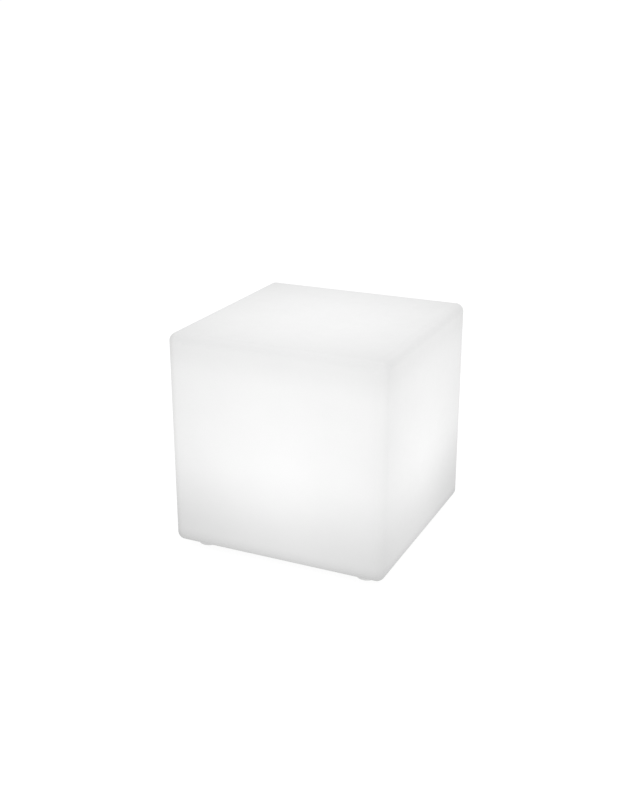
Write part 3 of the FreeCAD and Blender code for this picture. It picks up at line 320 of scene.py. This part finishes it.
MATERIALS = {
    "moulded_polyethylene": polyethylene("moulded_polyethylene"),
    # The feet get a painted light of 0.11 on top of the glow, to lift the shade under the cube.
    "foot_polyethylene": polyethylene("foot_polyethylene", 0.11),
    "white_abs": plastic("white_abs", (0.72, 0.72, 0.71), (0.79, 0.79, 0.78), 0.42, height=0.00006),
    "grey_silicone": plastic("grey_silicone", (0.33, 0.34, 0.35), (0.37, 0.38, 0.39), 0.62),
    "button_rubber": plastic("button_rubber", (0.085, 0.088, 0.09), (0.11, 0.113, 0.115), 0.58, height=0.00005),
    "brass": metal("brass", (0.72, 0.5, 0.22), (0.62, 0.42, 0.18), 0.3),
    "stainless": metal("stainless", (0.6, 0.6, 0.6), (0.52, 0.52, 0.51), 0.28),
    "plated_screws": metal("plated_screws", (0.62, 0.6, 0.52), (0.54, 0.53, 0.47), 0.32),
    "nickel": metal("nickel", (0.68, 0.66, 0.61), (0.6, 0.58, 0.54), 0.22),
    "black_nylon": plastic("black_nylon", (0.02, 0.02, 0.022), (0.032, 0.032, 0.034), 0.48),
    "white_nylon": plastic("white_nylon", (0.72, 0.7, 0.63), (0.77, 0.75, 0.68), 0.4),
    "clear_acrylic": plastic("clear_acrylic", (0.42, 0.8, 0.55), (0.36, 0.74, 0.5), 0.12, height=0.00001, Coat_Weight=0.6),
    "frosted_polycarbonate": plastic("frosted_polycarbonate", (0.85, 0.86, 0.86), (0.8, 0.82, 0.82), 0.3, height=0.00002),
    "green_laminate": laminate("green_laminate", (0.012, 0.09, 0.03), (0.03, 0.16, 0.06)),
    "white_laminate": laminate("white_laminate", (0.78, 0.78, 0.75), (0.7, 0.69, 0.64)),
    "emitter_resin": plastic("emitter_resin", (0.86, 0.8, 0.42), (0.88, 0.84, 0.52), 0.3, height=0.00002),
    "plate_aluminium": metal("plate_aluminium", (0.72, 0.73, 0.74), (0.66, 0.67, 0.68), 0.32, along=(1, 0.03, 1)),
    "can_sleeve": plastic("can_sleeve", (0.03, 0.035, 0.05), (0.045, 0.05, 0.07), 0.28),
    "cell_sleeve": plastic("cell_sleeve", (0.02, 0.11, 0.3), (0.03, 0.13, 0.34), 0.3),
    "red_pvc": plastic("red_pvc", (0.32, 0.01, 0.008), (0.38, 0.015, 0.01), 0.38),
    "black_pvc": plastic("black_pvc", (0.012, 0.012, 0.012), (0.02, 0.02, 0.02), 0.38),
}

for row in frame["record"]["subparts"]:
    piece = NODES[row["node"]]
    finish = MATERIALS[row["material_slot"]]
    if piece.data.materials:
        for i in range(len(piece.data.materials)):
            piece.material_slots[i].link = "OBJECT"
            piece.material_slots[i].material = finish
    else:
        piece.data.materials.append(finish)


# ------------------------------------------------------------ power symbol


def stroke(bm, path, width, thick, low):
    """A raised stroke with round ends along a path in the plane, its top edges softened, hanging from height low."""
    half, soft = width / 2, width * 0.16
    rows = [(half, low + 0.00002), (half, low - thick + soft), (half - soft * 0.3, low - thick + soft * 0.3), (half - soft, low - thick)]
    ring = []
    count = len(path)
    for i, (x, y) in enumerate(path):
        ax, ay = path[max(i - 1, 0)]
        bx, by = path[min(i + 1, count - 1)]
        ring.append((x, y, math.atan2(by - ay, bx - ax)))
    outline = [(x, y, a - math.pi / 2) for x, y, a in ring]
    x, y, a = ring[-1]
    outline += [(x, y, a - math.pi / 2 + math.pi * k / 10) for k in range(1, 10)]
    outline += [(x, y, a + math.pi / 2) for x, y, a in reversed(ring)]
    x, y, a = ring[0]
    outline += [(x, y, a + math.pi / 2 + math.pi * k / 10) for k in range(1, 10)]
    loops = []
    for reach, z in rows:
        loops.append([bm.verts.new((x + math.cos(a) * reach, y + math.sin(a) * reach, z)) for x, y, a in outline])
    n = len(outline)
    for up, down in zip(loops, loops[1:]):
        for i in range(n):
            bm.faces.new((up[i], up[(i + 1) % n], down[(i + 1) % n], down[i]))
    for loop in (loops[0], loops[-1]):
        # The outline's two sides run side by side, so the flat faces are strips between them.
        side, tip = count, 9
        left = [loop[2 * side + tip - 1 - i] for i in range(side)]
        for i in range(side - 1):
            bm.faces.new((loop[i], loop[i + 1], left[i + 1], left[i]))
        bm.faces.new([loop[side - 1]] + [loop[side + k] for k in range(tip)] + [left[-1]])
        bm.faces.new([left[0]] + [loop[2 * side + tip + k] for k in range(tip)] + [loop[0]])


def make_power_symbol():
    """A broken ring and a bar that points to the front, raised from the face of the button by a tenth of a millimetre."""
    low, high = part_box("power_button")
    cx, cy, face = (low[0] + high[0]) / 2, (low[1] + high[1]) / 2, low[2]
    bm = bmesh.new()
    radius, gap = 0.0023, math.radians(38)
    turn = [-math.pi / 2 + gap + (2 * math.pi - 2 * gap) * k / 48 for k in range(49)]
    stroke(bm, [(cx + radius * math.cos(t), cy + radius * math.sin(t)) for t in turn], 0.0006, 0.00012, face)
    stroke(bm, [(cx, cy - 0.0005 - 0.0026 * k / 6) for k in range(7)], 0.0006, 0.00012, face)
    bmesh.ops.recalc_face_normals(bm, faces=bm.faces)
    symbol = mesh_object("power_symbol", bm)
    symbol.data.materials.append(MATERIALS["white_abs"])
    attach(symbol, "button")


# ------------------------------------------------------------ stage


def mesh_object(name, bm, smooth=False):
    me = bpy.data.meshes.new(name)
    bm.to_mesh(me)
    bm.free()
    for poly in me.polygons:
        poly.use_smooth = smooth
    ob = bpy.data.objects.new(name, me)
    scene.collection.objects.link(ob)
    return ob


def make_stage():
    """A pale floor that runs to the horizon, under an even white sky: the object stands alone on white."""
    bm = bmesh.new()
    bmesh.ops.create_grid(bm, x_segments=8, y_segments=8, size=60.0)
    floor = mesh_object("floor", bm)
    floor.location.z = -0.0002
    f = Finish("floor_paint", (0.2, 0.2, 0.2), 0.9, Specular_IOR_Level=0.0)
    f.colour(f.noise(3.0, 3.0, 0.5), (0.199, 0.199, 0.199), (0.201, 0.201, 0.201))
    f.p.inputs["Emission Color"].default_value = (1, 1, 1, 1)
    f.p.inputs["Emission Strength"].default_value = 0.85
    floor.data.materials.append(f.m)
    world = bpy.data.worlds.new("studio")
    world.use_nodes = True
    scene.world = world
    sky = next(n for n in world.node_tree.nodes if n.type == "BACKGROUND")
    sky.inputs["Color"].default_value = (1, 1, 1, 1)
    sky.inputs["Strength"].default_value = 1.0


def softbox(name, place, aim, size, power):
    """A broad soft light. It isn't mirrored, because its image at a shallow angle would hide the top's far edge."""
    data = bpy.data.lights.new(name, "AREA")
    data.shape = "RECTANGLE"
    data.size, data.size_y = size
    data.energy = power
    ob = bpy.data.objects.new(name, data)
    scene.collection.objects.link(ob)
    ob.location = place
    ob.rotation_mode = "QUATERNION"
    ob.rotation_quaternion = (Vector(place) - Vector(aim)).to_track_quat("Z", "Y")
    ob.visible_glossy = False
    return ob


make_power_symbol()
make_stage()
softbox("key_softbox", (0.76, -1.18, 0.86), (0, 0, 0.2), (0.9, 0.9), 5.85)
